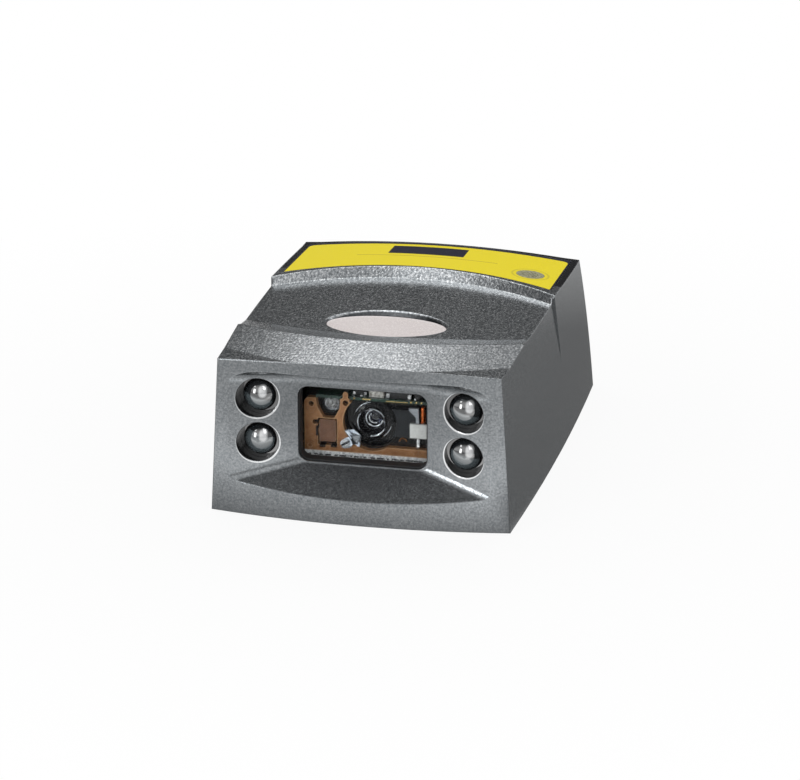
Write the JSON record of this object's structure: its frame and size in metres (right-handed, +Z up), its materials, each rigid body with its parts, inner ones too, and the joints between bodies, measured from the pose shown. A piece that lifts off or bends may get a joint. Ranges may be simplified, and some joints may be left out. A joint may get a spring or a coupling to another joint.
{
  "type": "in-counter barcode scanner",
  "caption": "Compact fixed-mount barcode scanner head with a recessed scan window, domed lamp lenses and a raised rear deck, made to be built into a counter.",
  "frame": {"origin": "middle of the footprint, on the face that the scanner rests on", "axes": "+Z up; -Y out of the scan window; +X to the right of someone who faces the window"},
  "size_m": [0.074, 0.1045, 0.0405],
  "materials": {
    "housing": "graphite metallic paint, satin, fine speckle",
    "base": "cast, dark conversion coat",
    "seal": "matt moulded rubber",
    "pane": "clear, polished",
    "lens": "clear moulded, polished",
    "label": "printed sheet, satin",
    "badge": "pearl white, satin gloss",
    "mesh": "fine perforated sheet",
    "bronze": "bronze coat, satin",
    "cover_brown": "satin",
    "black_plastic": "glossy moulded",
    "dark_metal": "satin",
    "bright_metal": "bright faceted",
    "grey_metal": "satin",
    "white_plastic": "satin",
    "copper": "bright wound copper",
    "board": "solder mask, satin",
    "chip": "moulded, matt",
    "ceramic_body": "satin",
    "sensor_glass": "coated",
    "foil": "conductive foil weave over foam",
    "sheet_steel": "zinc plated",
    "screw": "nickel plated",
    "black_screw": "black oxide",
    "ribbon": "amber film",
    "connector": "moulded",
    "turned_brass": "turned, bright",
    "emitter": "satin"
  },
  "bodies": {
    "root": {"top_housing": "housing", "base_plate": "base", "base_seal": "seal", "scan_window": "pane", "window_seal": "seal", "label_plate": "label", "badge_plate": "badge", "beeper_mesh": "mesh", "lens_upper_left": "lens", "lens_lower_left": "lens", "lens_upper_right": "lens", "lens_lower_right": "lens", "lamp_board_left": "board", "lamp_board_right": "board", "emitters_left": "emitter", "emitters_right": "emitter", "lamp_board_screws": "screw", "engine_bracket": "sheet_steel", "gasket_strip": "foil", "engine_plate": "bronze", "engine_body": "black_plastic", "lens_barrel": "black_plastic", "lens_clamp": "black_plastic", "front_lens": "lens", "aiming_lens": "lens", "aiming_module": "turned_brass", "aiming_cover": "cover_brown", "beam_clip": "bright_metal", "clip_screw": "screw", "optics_block": "dark_metal", "side_bracket": "grey_metal", "white_pad": "white_plastic", "flex_coil": "copper", "engine_board": "board", "board_capacitor": "ceramic_body", "board_diode": "chip", "engine_chips": "chip", "sensor_board": "board", "image_sensor": "sensor_glass", "engine_screws": "screw", "bracket_screws": "screw", "engine_ribbon": "ribbon", "main_board": "board", "processor_chip": "chip", "memory_chips": "chip", "power_parts": "chip", "ribbon_socket": "connector", "host_socket": "connector", "board_posts": "turned_brass", "board_screws": "screw", "beeper": "chip", "inlet_grommet": "seal", "cover_screws": "black_screw", "fixing_inserts": "turned_brass"}
  },
  "joints": []
}
